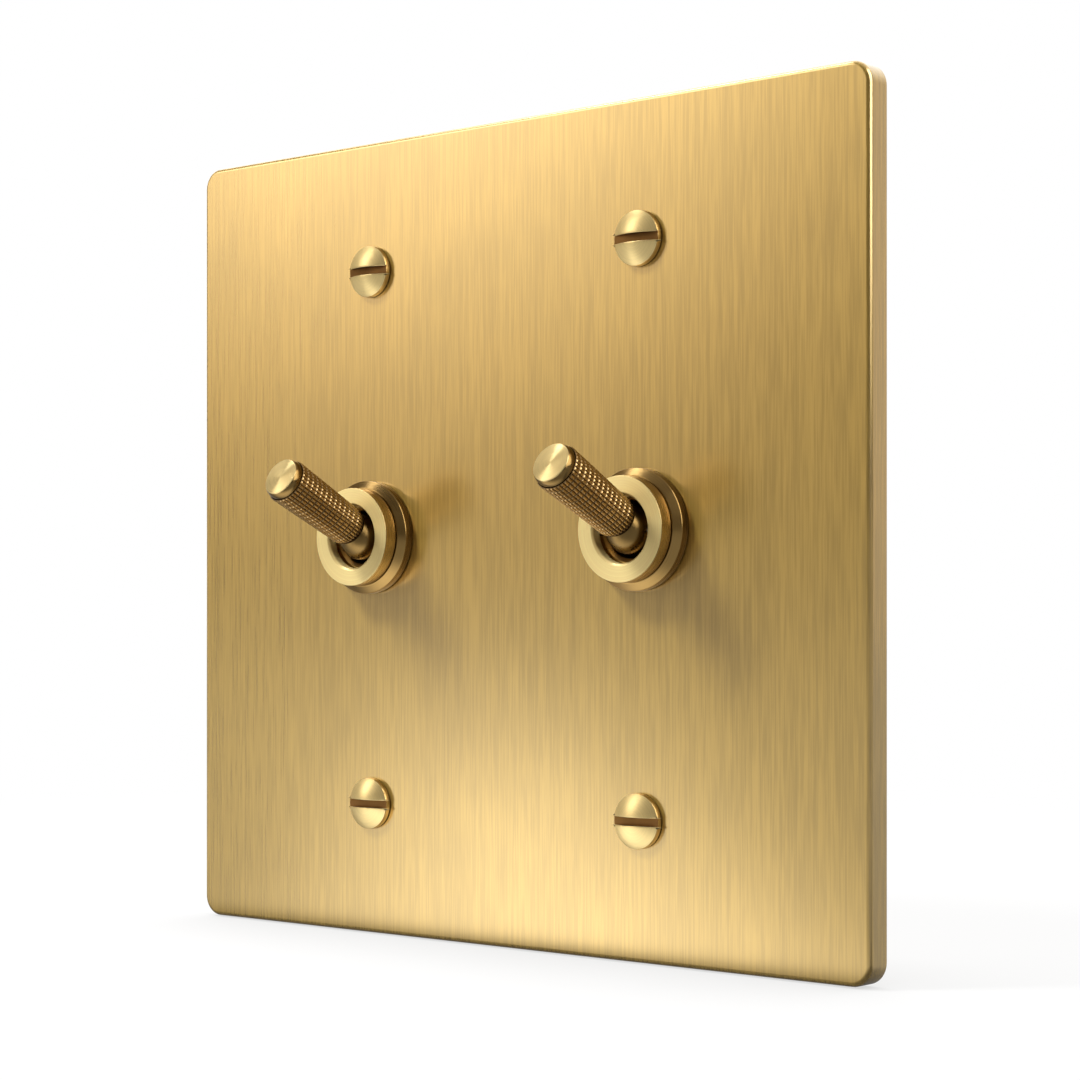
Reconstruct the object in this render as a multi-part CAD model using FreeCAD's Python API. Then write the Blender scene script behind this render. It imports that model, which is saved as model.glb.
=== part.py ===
import FreeCAD, Part
import math
import os

os.makedirs("parts", exist_ok=True)

# Two-gang brass wall switch. The plate stands in the XZ plane, +Z is up and the front faces -Y.
# The origin is the centre of the plate's rear rim, which lies on the wall at Y = 0. Millimetres.

# face plate
plate_w = 131.5
plate_h = 124.0
plate_t = 4.0
plate_wall = 1.6
plate_rim = 2.6
plate_corner_r = 3.2
plate_edge_r = 0.7
hollow_corner_min = 0.5
boss_r = 5.2
gang_pitch = 53.5

# fixing screws, on the pitch of a standard wall box
screw_pitch = 83.3
screw_r = 2.0
screw_neck_r = 1.75
screw_head_r = 4.0
screw_wall = 0.95
screw_dome = 1.1
screw_slot_w = 1.2
screw_slot_depth = 1.15
screw_reach = 16.0
hole_clear = 0.2

# dolly: knurled handle, ball and tail
tilt_deg = 26.5
pivot_depth = 2.2
ball_r = 3.6
seat_u = 2.6
dolly_length = 19.6
collar_length = 1.3
collar_r = 3.25
collar_root = 1.0
tip_chamfer = 0.2
knurl_root_r = 3.1
knurl_tip_r = 3.55
knurl_depth = 0.26
knurl_count = 26
knurl_pitch = 1.3
knurl_round = 0.7
stud_r = 1.5
stud_length = 1.4
pin_r = 0.75
pin_length = 11.0
tail_r = 0.85
tail_length = 11.6
tail_ball_r = 1.5

# bushing, its ring nut and the base flange
bushing_r = 6.0
bushing_bore_r = 4.2
bushing_flare = 0.5
bushing_shoulder_r = 8.5
bushing_spigot_r = 7.0
bushing_stake = 0.3
thread_clear = 0.05
run_clear = 0.05
ring_r = 7.6
ring_height = 2.4
ring_lip = 1.65
ring_bore_r = 4.9
ring_chamfer = 0.3
ring_edge = 0.22
ring_skirt_wall = 0.95
ring_skirt_gap = 0.4
ring_gap = 0.45
flange_r = 8.8
flange_rim = 1.5
flange_height = 2.35
flange_edge = 0.15
washer_t = 0.5
washer_teeth = 10
washer_gap_w = 1.0
thread_chamfer = 0.25

# frame, case and carriage
frame_t = 1.2
frame_w = 17.0
tab_w = 3.2
tab_lap = 2.0
case_w = 19.0
case_wall = 1.8
case_floor = 1.6
case_end_clear = 1.0
frame_gap = 0.6
carriage_gap = 0.8
slide_clear = 0.3
guide_step = 2.4
carriage_h = 8.0
pocket_half_x = 2.0
pocket_clear = 0.45
pocket_floor = 1.6
contact_t = 0.4
contact_w = 5.0
contact_span = 3.5
contact_drop = 1.6
contact_clear = 0.05
contact_foot = 0.6
contact_bend = 0.25

# terminals
pad_t = 0.8
pad_w = 6.6
pad_half = 1.2
stem_w = 2.4
stem_h = 2.0
post_w = 5.6
post_h = 5.2
post_length = 7.0
post_shift = 0.3
wire_inset = 3.15
wire_r = 1.3
clamp_r = 1.25
clamp_head_r = 2.2
clamp_wall = 1.4
clamp_dome = 0.3
clamp_slot_w = 0.7
clamp_slot_depth = 0.8
clamp_above_wire = 0.5
rib_t = 1.0
rib_w = 13.0
rib_length = 6.0

# overlap of joined lumps, and how far a cut runs past a face
lap = 0.5
over = 1.0

tilt = math.radians(tilt_deg)
x_axis = FreeCAD.Vector(1, 0, 0)
y_axis = FreeCAD.Vector(0, 1, 0)
z_axis = FreeCAD.Vector(0, 0, 1)

# stations along Y
y_front = -plate_t
y_inner = y_front + plate_wall
y_pivot = y_front - pivot_depth
y_seat = y_front - flange_height
y_face = y_seat - ring_height
y_lip = y_face + ring_lip
y_bush_front = y_lip + ring_gap
y_shoulder = y_inner + washer_t
y_frame = frame_gap
y_case = y_frame + frame_t
y_stake = y_case + bushing_stake
y_car_front = y_stake + carriage_gap
y_pocket = y_pivot + tail_length + tail_ball_r + slide_clear
y_car_back = y_pocket + pocket_floor
y_guide = y_car_back + slide_clear
y_pad = y_car_back + contact_t + contact_drop + contact_clear
y_floor = y_pad + pad_t
y_back = y_floor + case_floor
y_post = y_back + post_length
y_wire = y_back + wire_inset

# travel of the carriage and what follows from it
travel = tail_length * math.sin(tilt)
case_half_in = travel + carriage_h / 2 + case_end_clear
case_half = case_half_in + case_wall
case_in_x = case_w / 2 - case_wall
carriage_half_x = case_in_x - slide_clear
far_contact = travel + contact_span
post_z = far_contact - post_shift


def box(x0, x1, y0, y1, z0, z1):
    return Part.makeBox(x1 - x0, y1 - y0, z1 - z0, FreeCAD.Vector(x0, y0, z0))


def rod(r, start, length, axis):
    return Part.makeCylinder(r, length, start, axis)


def turned(points):
    """Solid of revolution about Y from (radius, y) points."""
    corners = [FreeCAD.Vector(r, y, 0) for r, y in points]
    outline = Part.makePolygon(corners + corners[:1])
    return Part.Face(outline).revolve(FreeCAD.Vector(0, 0, 0), y_axis, 360)


def slab(w, h, y0, y1, corner_r):
    """Block with its four edges along Y rounded."""
    block = box(-w / 2, w / 2, y0, y1, -h / 2, h / 2)
    along = [e for e in block.Edges if abs(e.BoundBox.YLength - (y1 - y0)) < 1e-6]
    return block.makeFillet(corner_r, along)


def screw_places():
    for x in (-gang_pitch / 2, gang_pitch / 2):
        for z in (-screw_pitch / 2, screw_pitch / 2):
            yield FreeCAD.Vector(x, 0, z)


def make_face_plate():
    plate = slab(plate_w, plate_h, y_front, 0, plate_corner_r)
    rim = [e for e in plate.Edges if e.BoundBox.YMax < y_front + 1e-6]
    plate = plate.makeFillet(plate_edge_r, rim)
    inner_r = max(plate_corner_r - plate_rim, hollow_corner_min)
    hollow = slab(plate_w - 2 * plate_rim, plate_h - 2 * plate_rim, y_inner, over, inner_r)
    for place in screw_places():
        hollow = hollow.cut(rod(boss_r, place + y_axis * y_inner, over - y_inner, y_axis))
    plate = plate.cut(hollow)
    start = y_front - over
    deep = plate_t + 2 * over
    for place in screw_places():
        plate = plate.cut(rod(screw_r + hole_clear, place + y_axis * start, deep, y_axis))
    hole_r = bushing_r + hole_clear
    for x in (-gang_pitch / 2, gang_pitch / 2):
        plate = plate.cut(rod(hole_r, FreeCAD.Vector(x, start, 0), deep, y_axis))
    return plate


def slotted_head(r, wall, dome, slot_w, slot_depth, y_under, out):
    """Screw head on the Y axis; out is -1 for a head that faces -Y and +1 for one that faces +Y."""
    height = wall + dome
    sphere_r = (r * r + dome * dome) / (2 * dome)
    start = y_under if out > 0 else y_under - height
    head = rod(r, FreeCAD.Vector(0, start, 0), height, y_axis)
    centre = FreeCAD.Vector(0, y_under + out * (height - sphere_r), 0)
    head = head.common(Part.makeSphere(sphere_r, centre))
    top = y_under + out * height
    cut_to = top - out * slot_depth
    y0, y1 = sorted((top + out * over, cut_to))
    slot = box(-2 * r, 2 * r, y0, y1, -slot_w / 2, slot_w / 2)
    return head.cut(slot)


def make_plate_screws():
    head = slotted_head(screw_head_r, screw_wall, screw_dome, screw_slot_w, screw_slot_depth, y_front, -1)
    neck = rod(screw_neck_r, FreeCAD.Vector(0, y_front, 0), plate_t + lap, y_axis)
    shank = rod(screw_r, FreeCAD.Vector(0, 0, 0), screw_reach, y_axis)
    screw = head.multiFuse([neck, shank]).removeSplitter()
    return Part.makeCompound([screw.translated(place) for place in screw_places()])


def knurl_radius(u, u_end):
    """Peak radius of the handle at a distance u from the pivot, rounded over at the root."""
    share = (u - seat_u) / (u_end - seat_u)
    r = knurl_root_r + (knurl_tip_r - knurl_root_r) * share
    left = max(knurl_round - (u - seat_u), 0.0)
    return r - knurl_round + math.sqrt(knurl_round ** 2 - left ** 2)


def knurl_points(u_end, rows):
    """Vertices of the diamond lattice; peaks where column and row add up to an even number."""
    columns = 2 * knurl_count
    points = []
    for j in range(rows + 1):
        u = seat_u + (u_end - seat_u) * j / rows
        peak = knurl_radius(u, u_end)
        for i in range(columns):
            low = knurl_depth if (i + j) % 2 else 0.0
            r = peak - (knurl_depth / 2 if j in (0, rows) else low)
            a = 2 * math.pi * i / columns
            points.append(FreeCAD.Vector(r * math.cos(a), -u, r * math.sin(a)))
    return points


def make_knurl(u_end):
    columns = 2 * knurl_count
    rows = 2 * round((u_end - seat_u) / knurl_pitch)
    points = knurl_points(u_end, rows)
    facets = []
    for j in range(rows):
        for i in range(columns):
            a = j * columns + i
            b = j * columns + (i + 1) % columns
            c = a + columns
            d = b + columns
            if (i + j) % 2:
                facets += [(a, d, b), (a, c, d)]
            else:
                facets += [(a, c, b), (b, c, d)]
    ends = [(0, -seat_u), (rows * columns, -u_end)]
    for start, y in ends:
        points.append(FreeCAD.Vector(0, y, 0))
        hub = len(points) - 1
        for i in range(columns):
            pair = (start + i, start + (i + 1) % columns)
            facets.append((hub, pair[0], pair[1]) if start == 0 else (hub, pair[1], pair[0]))
    skin = Part.Shape()
    skin.makeShapeFromMesh((points, facets), 1e-5)
    solid = Part.Solid(Part.Shell(skin.Faces))
    if solid.Volume < 0:
        solid.reverse()
    return solid


def make_dolly():
    u_end = dolly_length - collar_length
    top = -dolly_length
    collar = turned([
        (0, -u_end + over),
        (collar_r - collar_root, -u_end + over),
        (collar_r - collar_root, -u_end),
        (collar_r, -u_end),
        (collar_r, top + tip_chamfer),
        (collar_r - tip_chamfer, top),
        (0, top),
    ])
    stud = rod(stud_r, FreeCAD.Vector(0, -seat_u - over, 0), stud_length + over, y_axis)
    return make_knurl(u_end).multiFuse([collar, stud]).removeSplitter()


def make_ball():
    ball = Part.makeSphere(ball_r)
    ball = ball.cut(box(-ball_r, ball_r, -2 * ball_r, -seat_u, -ball_r, ball_r))
    tail = rod(tail_r, FreeCAD.Vector(0, ball_r / 2, 0), tail_length - ball_r / 2, y_axis)
    knob = Part.makeSphere(tail_ball_r, FreeCAD.Vector(0, tail_length, 0))
    ball = ball.multiFuse([tail, knob])
    ball = ball.cut(rod(stud_r, FreeCAD.Vector(0, -seat_u - over, 0), stud_length + over, y_axis))
    return ball.cut(rod(pin_r, FreeCAD.Vector(-2 * ball_r, 0, 0), 4 * ball_r, x_axis)).removeSplitter()


def make_pivot_pin():
    return rod(pin_r, FreeCAD.Vector(-pin_length / 2, 0, 0), pin_length, x_axis)


def placed(shape):
    """Set a dolly piece on the pivot, turned from straight out to its upper stop."""
    shape.Placement = FreeCAD.Placement(FreeCAD.Vector(0, y_pivot, 0), FreeCAD.Rotation(x_axis, -tilt_deg))
    return shape


def make_ring_nut():
    bore = bushing_r + thread_clear
    skirt_r = bore + ring_skirt_wall
    y_skirt = y_front - ring_skirt_gap
    return turned([
        (ring_bore_r, y_lip),
        (ring_bore_r, y_face + ring_chamfer),
        (ring_bore_r + ring_chamfer, y_face),
        (ring_r - ring_edge, y_face),
        (ring_r, y_face + ring_edge),
        (ring_r, y_seat - ring_edge / 2),
        (ring_r - ring_edge / 2, y_seat),
        (skirt_r, y_seat),
        (skirt_r, y_skirt),
        (bore, y_skirt),
        (bore, y_lip),
    ])


def make_flange():
    bore = bushing_r + 2 * thread_clear + ring_skirt_wall
    return turned([
        (bore, y_front),
        (flange_r, y_front),
        (flange_r, y_front - flange_rim + flange_edge),
        (flange_r - flange_edge, y_front - flange_rim),
        (ring_r + flange_edge, y_seat),
        (bore, y_seat),
    ])


def make_lock_washer():
    inner = bushing_r + thread_clear
    washer = turned([
        (inner, y_inner),
        (bushing_shoulder_r, y_inner),
        (bushing_shoulder_r, y_shoulder),
        (inner, y_shoulder),
    ])
    gap_to = (inner + bushing_shoulder_r) / 2
    notch = box(0, gap_to, y_inner - over, y_shoulder + over, -washer_gap_w / 2, washer_gap_w / 2)
    for k in range(washer_teeth):
        washer = washer.cut(notch.rotated(FreeCAD.Vector(0, 0, 0), y_axis, 360.0 * k / washer_teeth))
    return washer


def make_bushing():
    back_r = (y_stake - y_pivot) * math.tan(tilt) + tail_r / math.cos(tilt) + slide_clear
    bushing = turned([
        (bushing_bore_r + bushing_flare, y_bush_front),
        (bushing_r - thread_chamfer, y_bush_front),
        (bushing_r, y_bush_front + thread_chamfer),
        (bushing_r, y_shoulder),
        (bushing_shoulder_r, y_shoulder),
        (bushing_shoulder_r, y_frame),
        (bushing_spigot_r, y_frame),
        (bushing_spigot_r, y_case),
        (bushing_spigot_r + bushing_stake, y_case),
        (bushing_spigot_r + bushing_stake / 2, y_stake),
        (back_r, y_stake),
        (bushing_bore_r, y_shoulder),
        (bushing_bore_r, y_bush_front + bushing_flare),
    ])
    half = pin_r + run_clear
    reach = 2 * bushing_r
    notch = box(-reach, reach, y_bush_front - over, y_pivot, -half, half)
    notch = notch.fuse(rod(half, FreeCAD.Vector(-reach, y_pivot, 0), 2 * reach, x_axis))
    return bushing.cut(notch)


def make_frame():
    leg_in = case_half
    leg_out = leg_in + frame_t
    half = frame_w / 2
    frame = box(-half, half, y_frame, y_case, -leg_out, leg_out)
    for side in (-1, 1):
        z0, z1 = sorted((side * leg_in, side * leg_out))
        frame = frame.fuse(box(-half, half, y_frame, y_back + frame_t, z0, z1))
        z0, z1 = sorted((side * (leg_in - tab_lap), side * leg_out))
        for x0 in (-half, half - tab_w):
            frame = frame.fuse(box(x0, x0 + tab_w, y_back, y_back + frame_t, z0, z1))
    gap = box(-half + tab_w, half - tab_w, y_back, y_back + 2 * frame_t, -2 * leg_out, 2 * leg_out)
    hole = rod(bushing_spigot_r, FreeCAD.Vector(0, y_frame - over, 0), frame_t + 2 * over, y_axis)
    return frame.cut(gap).cut(hole).removeSplitter()


def terminal_heights():
    return (("lower", -post_z), ("common", 0.0), ("upper", post_z))


def make_case():
    half = case_w / 2
    case = box(-half, half, y_case, y_back, -case_half, case_half)
    case = case.cut(box(-case_in_x, case_in_x, y_case - over, y_guide, -case_half_in, case_half_in))
    deep_x = case_in_x - guide_step
    case = case.cut(box(-deep_x, deep_x, y_case - over, y_floor, -case_half_in, case_half_in))
    for z in (-post_z / 2, post_z / 2):
        rib = box(-rib_w / 2, rib_w / 2, y_back - lap, y_back + rib_length, z - rib_t / 2, z + rib_t / 2)
        case = case.fuse(rib)
    for name, z in terminal_heights():
        slot = box(-stem_w / 2, stem_w / 2, y_floor - over, y_back + over, z - stem_h / 2, z + stem_h / 2)
        case = case.cut(slot)
    return case.removeSplitter()


def make_carriage():
    z = -travel
    half = carriage_h / 2
    hole = tail_ball_r + pocket_clear
    block = box(-carriage_half_x, carriage_half_x, y_car_front, y_car_back, z - half, z + half)
    pocket = box(-pocket_half_x, pocket_half_x, y_car_front - over, y_pocket, z - hole, z + hole)
    return block.cut(pocket)


def make_bridge():
    """Spring blade on the back of the carriage, with one wiping foot at each end."""
    low = y_car_back + contact_drop
    half = contact_span / 2 - contact_bend
    side = [
        (-contact_span - contact_foot, low),
        (-contact_span + contact_foot, low),
        (-half, y_car_back),
        (half, y_car_back),
        (contact_span - contact_foot, low),
        (contact_span + contact_foot, low),
    ]
    there = [FreeCAD.Vector(-contact_w / 2, y, z - travel) for z, y in side]
    back = [p + y_axis * contact_t for p in reversed(there)]
    outline = Part.makePolygon(there + back + there[:1])
    return Part.Face(outline).extrude(x_axis * contact_w)


def make_terminal(name, z):
    if name == "common":
        pad_z = 0.0
        half = max(travel - contact_span, 0.0) + pad_half
    else:
        pad_z = math.copysign(far_contact, z)
        half = pad_half
    body = box(-pad_w / 2, pad_w / 2, y_pad, y_floor, pad_z - half, pad_z + half)
    stem = box(-stem_w / 2, stem_w / 2, y_floor - lap, y_back, z - stem_h / 2, z + stem_h / 2)
    post = box(-post_w / 2, post_w / 2, y_back, y_post, z - post_h / 2, z + post_h / 2)
    body = body.multiFuse([stem, post])
    body = body.cut(rod(wire_r, FreeCAD.Vector(-post_w, y_wire, z), 2 * post_w, x_axis))
    return body.cut(rod(clamp_r, FreeCAD.Vector(0, y_wire, z), post_length, y_axis)).removeSplitter()


def make_terminal_screws():
    head = slotted_head(clamp_head_r, clamp_wall, clamp_dome, clamp_slot_w, clamp_slot_depth, y_post, 1)
    start = y_wire + clamp_above_wire
    screw = head.fuse(rod(clamp_r, FreeCAD.Vector(0, start, 0), y_post - start, y_axis)).removeSplitter()
    return Part.makeCompound([screw.translated(z_axis * z) for name, z in terminal_heights()])


def make_gang():
    pieces = {
        "dolly": placed(make_dolly()),
        "ball": placed(make_ball()),
        "pivot_pin": placed(make_pivot_pin()),
        "ring_nut": make_ring_nut(),
        "flange": make_flange(),
        "lock_washer": make_lock_washer(),
        "bushing": make_bushing(),
        "frame": make_frame(),
        "case": make_case(),
        "carriage": make_carriage(),
        "bridge_contact": make_bridge(),
        "terminal_screws": make_terminal_screws(),
    }
    for name, z in terminal_heights():
        pieces[name + "_terminal"] = make_terminal(name, z)
    return pieces


make_face_plate().exportStep("parts/face_plate.step")
make_plate_screws().exportStep("parts/plate_screws.step")
for side, x in (("left", -gang_pitch / 2), ("right", gang_pitch / 2)):
    for name, shape in make_gang().items():
        shape.translated(x_axis * x).exportStep("parts/" + side + "_" + name + ".step")
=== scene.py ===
import bmesh
import bpy
import math
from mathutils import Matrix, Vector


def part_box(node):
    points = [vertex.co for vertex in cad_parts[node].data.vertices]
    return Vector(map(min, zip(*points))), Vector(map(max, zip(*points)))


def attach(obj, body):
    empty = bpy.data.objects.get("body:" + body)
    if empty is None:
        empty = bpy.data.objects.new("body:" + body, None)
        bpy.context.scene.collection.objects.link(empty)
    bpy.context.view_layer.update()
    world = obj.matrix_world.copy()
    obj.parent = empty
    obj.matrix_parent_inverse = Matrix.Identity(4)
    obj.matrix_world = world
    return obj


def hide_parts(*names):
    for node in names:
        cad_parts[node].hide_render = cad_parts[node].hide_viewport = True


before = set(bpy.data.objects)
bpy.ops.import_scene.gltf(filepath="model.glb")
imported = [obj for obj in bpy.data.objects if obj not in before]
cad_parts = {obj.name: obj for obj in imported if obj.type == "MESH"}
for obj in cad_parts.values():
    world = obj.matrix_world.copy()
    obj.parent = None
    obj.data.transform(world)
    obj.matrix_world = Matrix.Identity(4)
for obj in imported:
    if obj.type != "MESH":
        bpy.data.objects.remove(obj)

bl_info = {
    "name": "Brass dolly switch",
    "version": (1, 0, 0),
    "blender": (4, 5, 0),
    "location": "View3D > Sidebar > Switch",
    "description": "Models a two-gang brass wall switch with knurled dollies and its studio stage",
    "category": "Add Mesh",
}

SIDES = ("left", "right")
PLATE_LOW, PLATE_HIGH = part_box("face_plate")
WELD = 1e-6  # points closer than this are one point
OVERSHOOT = 0.001  # how far a cutting tool stands out of the piece that it cuts
TURN_STEPS = 128  # segments around a collar or a dolly
RADIAL = 0.25  # anisotropic turn that stretches highlights across turning marks
LACQUER_IOR = 1.9
WHITE = (1.0, 1.0, 1.0)


def length(name, description, default):
    """Length property in metres."""
    return bpy.props.FloatProperty(name=name, description=description, default=default,
                                   min=0.0, precision=5, unit="LENGTH")


def number(name, description, default):
    return bpy.props.FloatProperty(name=name, description=description, default=default, min=0.0)


def count(name, description, default):
    return bpy.props.IntProperty(name=name, description=description, default=default, min=3)


def colour(name, description, default):
    return bpy.props.FloatVectorProperty(name=name, description=description, default=default,
                                         size=3, min=0.0, max=1.0, subtype="COLOR")


class PlateSizes(bpy.types.PropertyGroup):
    width: length("Width", "Plate size across", PLATE_HIGH[0] - PLATE_LOW[0])
    height: length("Height", "Plate size upright", PLATE_HIGH[2] - PLATE_LOW[2])
    depth: length("Depth", "From the wall to the front face", PLATE_HIGH[1] - PLATE_LOW[1])
    wall: length("Wall", "Sheet behind the front face", 0.0016)
    rim: length("Rim", "Width of the rear rim on the wall", 0.0026)
    corner: length("Corner", "Radius of the four corners", 0.0032)
    edge: length("Edge", "Rounding of the front edge", 0.0007)
    boss: length("Boss", "Radius of the four screw bosses", 0.0052)
    screw_hole: length("Screw hole", "Radius of the screw holes", 0.0022)
    bushing_hole: length("Bushing hole", "Radius of the dolly holes", 0.0062)
    gang_pitch: length("Gang pitch", "Between the two dollies", 0.0535)
    screw_pitch: length("Screw pitch", "Between the screws, upright", 0.0833)


class ScrewSizes(bpy.types.PropertyGroup):
    head: length("Head", "Head radius", 0.004)
    wall: length("Wall", "Straight side of the head", 0.00095)
    dome: length("Dome", "Rise of the domed top", 0.0011)
    slot_width: length("Slot width", "Width of the slot", 0.0012)
    slot_depth: length("Slot depth", "Depth of the slot from the top", 0.00115)
    neck: length("Neck", "Radius of the plain neck", 0.00175)
    shank: length("Shank", "Outer radius of the thread", 0.002)
    reach: length("Reach", "Thread behind the wall face", 0.016)
    pitch: length("Pitch", "Rise of one thread turn", 0.0008)
    seam: length("Seam", "Shadow gap under the head", 0.00018)


class CollarSizes(bpy.types.PropertyGroup):
    ring: length("Ring", "Outer radius of the ring nut", 0.0076)
    ring_height: length("Ring height", "From its seat to its face", 0.0024)
    ring_lip: length("Lip", "Depth of the narrow bore", 0.00165)
    ring_bore: length("Bore", "Radius of the opening in the face", 0.0049)
    thread: length("Thread", "Radius of the threaded bore", 0.00605)
    skirt: length("Skirt", "Outer radius of the hidden skirt", 0.007)
    skirt_gap: length("Skirt gap", "From the skirt to the plate", 0.0004)
    chamfer: length("Chamfer", "Chamfer at the opening", 0.0003)
    flange: length("Flange", "Radius of the base flange", 0.0088)
    flange_rim: length("Flange rim", "Straight side of the flange", 0.0015)
    flange_height: length("Flange height", "From the plate to the ring's seat", 0.00235)
    flange_bore: length("Flange bore", "Inner radius of the flange", 0.00705)
    edge: length("Edge", "Rounding of turned edges", 0.00011)
    seam: length("Seam", "Shadow gap under the ring and the flange", 0.0002)


class DollySizes(bpy.types.PropertyGroup):
    tilt: bpy.props.FloatProperty(name="Tilt", description="Angle at rest above straight out",
                                  default=math.radians(26.5), subtype="ANGLE", unit="ROTATION")
    pivot: length("Pivot", "From the plate's face to the pivot pin", 0.0022)
    seat: length("Seat", "From the pivot to the root of the handle", 0.0026)
    tip: length("Tip", "From the pivot to the end face", 0.0196)
    collar: length("Collar", "Length of the plain collar", 0.0013)
    collar_radius: length("Collar radius", "Radius of the plain collar", 0.00325)
    taper: length("Taper", "How much the collar narrows to the end face", 0.00037)
    taper_length: length("Taper length", "Length of the narrowing", 0.0007)
    root_radius: length("Root radius", "Radius over the knurl at the root", 0.0031)
    tip_radius: length("Tip radius", "Radius over the knurl at the collar", 0.00355)
    rounding: length("Rounding", "Rounding of the root", 0.0006)
    knurl_depth: length("Knurl depth", "Height of the knurl's points", 0.00019)
    knurl_land: length("Knurl land", "Inset from a point's foot to its top", 0.000225)
    around: count("Around", "Points around the handle", 36)
    rows: count("Rows", "Rows of points along the handle", 14)
    stud: length("Stud", "Radius of the stud into the ball", 0.0015)
    stud_length: length("Stud length", "Length of the stud", 0.0014)


class Finishes(bpy.types.PropertyGroup):
    plate: colour("Plate", "Brushed brass of the plate", (0.658, 0.431, 0.096))
    polished: colour("Polished", "Polished brass of rings, screws and dollies", (0.86, 0.615, 0.25))
    # Painted highlight: brass lightened for ring faces, screw domes and dolly end faces.
    pale_highlight: colour("Pale", "Brighter brass of ring faces and dolly ends", (0.96, 0.735, 0.32))
    # Painted shade: brass darkened for flanges, collars, knurls and balls.
    shade: colour("Shade", "Deeper brass of flanges, collars and balls", (0.72, 0.45, 0.15))
    # Painted shade: the darkest brass, put in seams, screw slots and knurl grooves.
    recess_shade: colour("Recess", "Darkened brass in grooves", (0.10, 0.05, 0.015))
    phenolic: colour("Phenolic", "Dark moulding of the cases", (0.032, 0.024, 0.020))
    ivory: colour("Ivory", "Moulded carriages", (0.62, 0.55, 0.42))
    zinc: colour("Zinc", "Plated steel", (0.55, 0.56, 0.57))
    steel: colour("Steel", "Ground steel", (0.50, 0.50, 0.50))
    copper: colour("Copper", "Contact strip", (0.66, 0.36, 0.20))


class StageSettings(bpy.types.PropertyGroup):
    lens: number("Lens", "Focal length in millimetres", 83.47)
    turn: bpy.props.FloatProperty(name="Turn", description="Camera's turn about the upright axis",
                                  default=math.radians(40.6), subtype="ANGLE", unit="ROTATION")
    place: bpy.props.FloatVectorProperty(name="Place", description="Where the camera stands",
                                         default=(0.24892, -0.28516, -0.01257), subtype="TRANSLATION")
    rise: number("Rise", "Upward shift of the lens", 0.072)
    key: number("Key", "Power of the shadow lamp in watts", 7.0)
    kicker: number("Kicker", "Power of the side lamp in watts", 8.0)
    fill: number("Fill", "Power of the high lamp on the left in watts", 1.1)
    top: number("Top", "Power of the overhead lamp in watts", 0.8)
    room: number("Room", "Level of the dim side of the room", 0.08)
    glow: number("Glow", "Level of the soft box in front on the left", 3.97)
    # Strip and floor: painted reflection, levels of glow that only glossy rays see on the floor.
    strip: number("Strip", "Level of the lit strip of floor that the metal shows", 2.1)
    floor: number("Floor", "Level of the floor beside that strip", 0.5)
    back: number("Back", "Level of the room behind the switch", 1.4)
    walls: colour("Walls", "Colour of the dim side of the room", (1.0, 0.8, 0.55))


class SwitchSettings(bpy.types.PropertyGroup):
    plate: bpy.props.PointerProperty(name="Plate", type=PlateSizes)
    screw: bpy.props.PointerProperty(name="Screws", type=ScrewSizes)
    collar: bpy.props.PointerProperty(name="Collars", type=CollarSizes)
    dolly: bpy.props.PointerProperty(name="Dollies", type=DollySizes)
    finish: bpy.props.PointerProperty(name="Finishes", type=Finishes)
    stage: bpy.props.PointerProperty(name="Stage", type=StageSettings)


def pair(pitch):
    """Two places a pitch apart about the middle."""
    return -pitch / 2, pitch / 2


def start_clean():
    """Leave edit mode and select nothing."""
    if bpy.context.mode != "OBJECT":
        bpy.ops.object.mode_set(mode="OBJECT")
    bpy.ops.object.select_all(action="DESELECT")


def take(piece):
    """Make a piece the only one selected."""
    start_clean()
    piece.select_set(True)
    bpy.context.view_layer.objects.active = piece


def named(name):
    piece = bpy.context.active_object
    piece.name = name
    piece.data.name = name
    return piece


def settle(piece):
    """Put a piece's place, turn and scale into its mesh."""
    take(piece)
    bpy.ops.object.transform_apply(location=True, rotation=True, scale=True)


def apply_modifier(piece, kind, **values):
    take(piece)
    modifier = piece.modifiers.new(kind.lower(), kind)
    for name, value in values.items():
        setattr(modifier, name, value)
    bpy.ops.object.modifier_apply(modifier=modifier.name)


def pick_edges(piece, test):
    """In edit mode, select only the edges that pass a test on their two ends."""
    bpy.ops.mesh.select_mode(type="EDGE")
    bpy.ops.mesh.select_all(action="DESELECT")
    mesh = bmesh.from_edit_mesh(piece.data)
    for edge in mesh.edges:
        if test(edge.verts[0].co, edge.verts[1].co):
            edge.select_set(True)
    bmesh.update_edit_mesh(piece.data)


def combine(piece, tool, operation):
    """Cut a piece with a tool or join them into one solid, and remove the tool."""
    apply_modifier(piece, "BOOLEAN", object=tool, operation=operation, solver="EXACT")
    bpy.data.objects.remove(tool, do_unlink=True)


def add_rod(radius, x, z, y0, y1, sides=64):
    start_clean()
    bpy.ops.mesh.primitive_cylinder_add(vertices=sides, radius=radius, depth=y1 - y0,
                                        location=(x, (y0 + y1) / 2, z), rotation=(math.pi / 2, 0, 0))
    rod = named("rod")
    settle(rod)
    return rod


def add_block(x0, x1, y0, y1, z0, z1):
    start_clean()
    bpy.ops.mesh.primitive_cube_add(size=1, location=((x0 + x1) / 2, (y0 + y1) / 2, (z0 + z1) / 2),
                                    scale=(x1 - x0, y1 - y0, z1 - z0))
    block = named("block")
    settle(block)
    return block


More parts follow.
